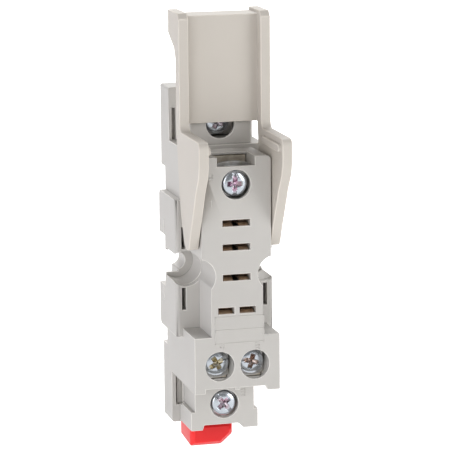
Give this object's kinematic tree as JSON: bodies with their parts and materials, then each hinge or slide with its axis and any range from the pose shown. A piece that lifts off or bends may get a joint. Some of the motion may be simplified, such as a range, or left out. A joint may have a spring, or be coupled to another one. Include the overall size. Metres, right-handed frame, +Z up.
{
  "type": "relay socket",
  "caption": "Slim DIN-rail socket for a plug-in relay, with screw terminals, blade slots, a swing-up retaining clip and a sliding rail clip.",
  "frame": {"origin": "middle of the 35 mm rail, on the plane of the rail's front that the socket sits on", "axes": "+Z up along the socket's length, +X across it along the rail, +Y back into the panel"},
  "size_m": [0.0194, 0.033, 0.0872],
  "materials": {
    "shell": "satin",
    "clip": "satin",
    "red": "satin",
    "steel": "polished",
    "brass": "satin"
  },
  "bodies": {
    "socket": {"housing": "shell", "rear_cover": "shell", "terminal_plate_top": "brass", "terminal_plate_middle": "brass", "terminal_plate_bottom": "brass", "terminal_plate_coil_left": "brass", "terminal_plate_coil_right": "brass", "contact_top": "brass", "contact_middle": "brass", "contact_bottom": "brass", "contact_coil_left": "brass", "contact_coil_right": "brass"},
    "clip": {"retaining_clip": "clip"},
    "foot": {"rail_clip": "red"},
    "plate_top": {"pressure_plate_top": "steel"},
    "bolt_top": {"screw_top": "steel"},
    "plate_middle": {"pressure_plate_middle": "steel"},
    "bolt_middle": {"screw_middle": "steel"},
    "plate_bottom": {"pressure_plate_bottom": "steel"},
    "bolt_bottom": {"screw_bottom": "steel"},
    "plate_coil_left": {"pressure_plate_coil_left": "steel"},
    "bolt_coil_left": {"screw_coil_left": "steel"},
    "plate_coil_right": {"pressure_plate_coil_right": "steel"},
    "bolt_coil_right": {"screw_coil_right": "steel"}
  },
  "joints": [
    {"name": "clip_swing", "type": "hinge", "parent": "socket", "child": "clip", "pos_m": [0, -0.0192, 0.0095], "axis": [1, 0, 0], "range_deg": [0, 80]},
    {"name": "foot_slide", "type": "slide", "parent": "socket", "child": "foot", "axis": [0, 0, -1], "range_m": [0, 0.003]},
    {"name": "plate_slide_top", "type": "slide", "parent": "socket", "child": "plate_top", "axis": [0, -1, 0], "range_m": [0, 0.002]},
    {"name": "screw_turn_top", "type": "hinge", "parent": "plate_top", "child": "bolt_top", "pos_m": [0, 0, 0.0274], "axis": [0, -1, 0], "range_deg": [0, 1440]},
    {"name": "plate_slide_middle", "type": "slide", "parent": "socket", "child": "plate_middle", "axis": [0, 1, 0], "range_m": [0, 0.002]},
    {"name": "screw_turn_middle", "type": "hinge", "parent": "plate_middle", "child": "bolt_middle", "pos_m": [0, 0, 0.0175], "axis": [0, 1, 0], "range_deg": [0, 1440]},
    {"name": "plate_slide_bottom", "type": "slide", "parent": "socket", "child": "plate_bottom", "axis": [0, 1, 0], "range_m": [0, 0.002]},
    {"name": "screw_turn_bottom", "type": "hinge", "parent": "plate_bottom", "child": "bolt_bottom", "pos_m": [0, 0, -0.0277], "axis": [0, 1, 0], "range_deg": [0, 1440]},
    {"name": "plate_slide_coil_left", "type": "slide", "parent": "socket", "child": "plate_coil_left", "axis": [0, -1, 0], "range_m": [0, 0.002]},
    {"name": "screw_turn_coil_left", "type": "hinge", "parent": "plate_coil_left", "child": "bolt_coil_left", "pos_m": [-0.00345, 0, -0.01755], "axis": [0, -1, 0], "range_deg": [0, 1440]},
    {"name": "plate_slide_coil_right", "type": "slide", "parent": "socket", "child": "plate_coil_right", "axis": [0, -1, 0], "range_m": [0, 0.002]},
    {"name": "screw_turn_coil_right", "type": "hinge", "parent": "plate_coil_right", "child": "bolt_coil_right", "pos_m": [0.00345, 0, -0.01755], "axis": [0, -1, 0], "range_deg": [0, 1440]}
  ],
  "couplings": [
    {"joint": "screw_turn_top", "follows": "plate_slide_top", "rad_per_m": 12566},
    {"joint": "screw_turn_middle", "follows": "plate_slide_middle", "rad_per_m": 12566},
    {"joint": "screw_turn_bottom", "follows": "plate_slide_bottom", "rad_per_m": 12566},
    {"joint": "screw_turn_coil_left", "follows": "plate_slide_coil_left", "rad_per_m": 12566},
    {"joint": "screw_turn_coil_right", "follows": "plate_slide_coil_right", "rad_per_m": 12566}
  ]
}
